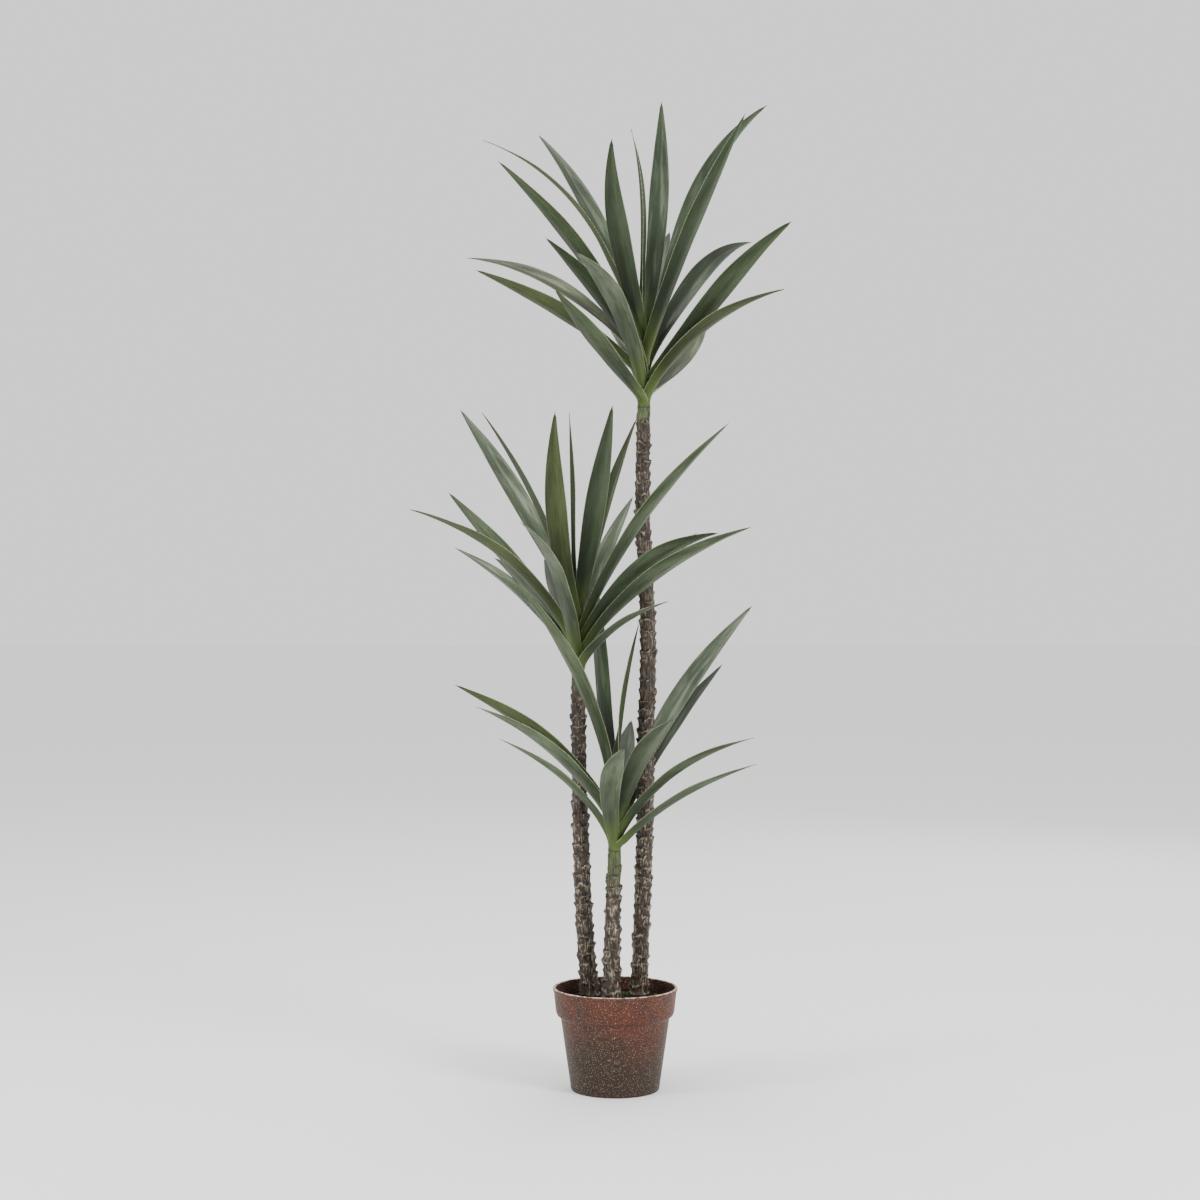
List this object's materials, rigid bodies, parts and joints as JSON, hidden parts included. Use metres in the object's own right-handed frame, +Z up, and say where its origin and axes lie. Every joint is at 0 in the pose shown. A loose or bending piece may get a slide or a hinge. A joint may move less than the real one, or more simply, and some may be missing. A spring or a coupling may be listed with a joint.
{
  "type": "artificial potted yucca",
  "caption": "Artificial potted yucca: ringed brown stems of unlike height, each with a head of long green sword leaves, standing in a round collared pot.",
  "frame": {"origin": "middle of the pot's flat underside", "axes": "+Z up along the stems; the tall stem stands towards +X and +Y, the short stem towards -Y"},
  "size_m": [0.513, 0.6555, 1.4616],
  "materials": {
    "pot_plastic": "moulded, speckled terracotta brown",
    "fill_grit": "set fill with a dark gritty top",
    "ringed_bark": "rough ringed bark with pale scar rims",
    "neck_green": "dull yellow green",
    "sword_leaf": "coated leaf, waxy sheen"
  },
  "bodies": {
    "root": {"pot": "pot_plastic", "potting_fill": "fill_grit", "tall_trunk": "ringed_bark", "tall_neck": "neck_green", "tall_leaf_01": "sword_leaf", "tall_leaf_02": "sword_leaf", "tall_leaf_03": "sword_leaf", "tall_leaf_04": "sword_leaf", "tall_leaf_05": "sword_leaf", "tall_leaf_06": "sword_leaf", "tall_leaf_07": "sword_leaf", "tall_leaf_08": "sword_leaf", "tall_leaf_09": "sword_leaf", "tall_leaf_10": "sword_leaf", "tall_leaf_11": "sword_leaf", "tall_leaf_12": "sword_leaf", "tall_leaf_13": "sword_leaf", "tall_leaf_14": "sword_leaf", "tall_leaf_15": "sword_leaf", "tall_leaf_16": "sword_leaf", "tall_leaf_17": "sword_leaf", "tall_leaf_18": "sword_leaf", "tall_leaf_19": "sword_leaf", "tall_leaf_20": "sword_leaf", "middle_trunk": "ringed_bark", "middle_neck": "neck_green", "middle_leaf_01": "sword_leaf", "middle_leaf_02": "sword_leaf", "middle_leaf_03": "sword_leaf", "middle_leaf_04": "sword_leaf", "middle_leaf_05": "sword_leaf", "middle_leaf_06": "sword_leaf", "middle_leaf_07": "sword_leaf", "middle_leaf_08": "sword_leaf", "middle_leaf_09": "sword_leaf", "middle_leaf_10": "sword_leaf", "middle_leaf_11": "sword_leaf", "middle_leaf_12": "sword_leaf", "middle_leaf_13": "sword_leaf", "middle_leaf_14": "sword_leaf", "middle_leaf_15": "sword_leaf", "middle_leaf_16": "sword_leaf", "middle_leaf_17": "sword_leaf", "middle_leaf_18": "sword_leaf", "short_trunk": "ringed_bark", "short_neck": "neck_green", "short_leaf_01": "sword_leaf", "short_leaf_02": "sword_leaf", "short_leaf_03": "sword_leaf", "short_leaf_04": "sword_leaf", "short_leaf_05": "sword_leaf", "short_leaf_06": "sword_leaf", "short_leaf_07": "sword_leaf", "short_leaf_08": "sword_leaf", "short_leaf_09": "sword_leaf", "short_leaf_10": "sword_leaf", "short_leaf_11": "sword_leaf", "short_leaf_12": "sword_leaf", "short_leaf_13": "sword_leaf"}
  },
  "joints": []
}
